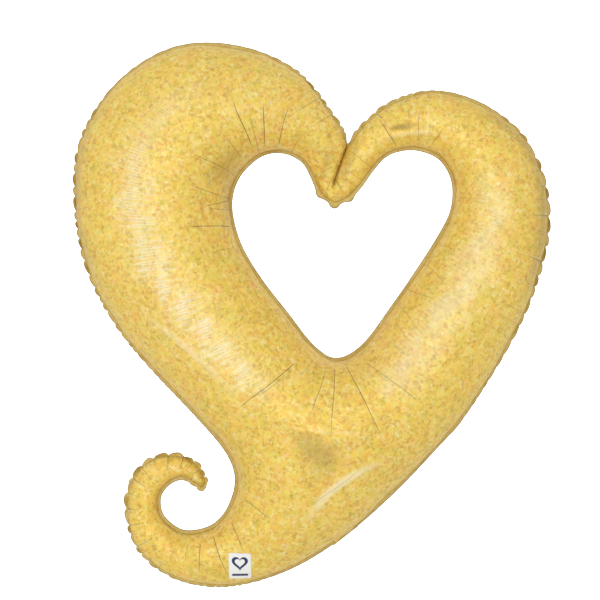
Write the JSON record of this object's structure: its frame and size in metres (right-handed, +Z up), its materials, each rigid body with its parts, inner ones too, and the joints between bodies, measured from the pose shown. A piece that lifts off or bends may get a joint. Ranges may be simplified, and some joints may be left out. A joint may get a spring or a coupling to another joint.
{
  "type": "heart-shaped foil balloon",
  "caption": "Inflated open heart of gold glitter film with a curled tail, sealed seams, a fold-back fill neck and a flat self-sealing valve.",
  "frame": {"origin": "tip of the notch inside the heart-shaped opening, on the seam's mid-plane, where the balloon hangs", "axes": "+Z up towards the lobes, -Y towards the front panel, +X towards the small lobe"},
  "size_m": [0.7199, 0.2176, 0.8195],
  "materials": {
    "glitter_film": "metallised film with a fine holographic gold glitter print",
    "seam_film": "the same film heat-sealed in two layers, puckered",
    "valve_film": "thin translucent valve film"
  },
  "bodies": {
    "envelope": {"front_panel": "glitter_film", "rear_panel": "glitter_film", "outer_seam": "seam_film", "heart_seam": "seam_film", "throat_front_film": "valve_film", "throat_rear_film": "valve_film"},
    "neck": {"neck_inner_ply": "glitter_film", "neck_outer_ply": "glitter_film", "neck_left_weld": "seam_film", "neck_right_weld": "seam_film", "mouth_inner_film": "valve_film", "mouth_outer_film": "valve_film"},
    "valve": {"valve_front_film": "valve_film", "valve_rear_film": "valve_film", "valve_left_weld": "valve_film", "valve_right_weld": "valve_film"}
  },
  "joints": [
    {"name": "neck_fold", "type": "hinge", "parent": "envelope", "child": "neck", "pos_m": [0.01796, 0, -0.49414], "axis": [-0.788, 0, -0.6157], "range_deg": [0, 180]},
    {"name": "valve_swing", "type": "hinge", "parent": "envelope", "child": "valve", "pos_m": [0.01205, 0, -0.48657], "axis": [0.788, 0, 0.6157], "range_deg": [-40, 40]}
  ]
}
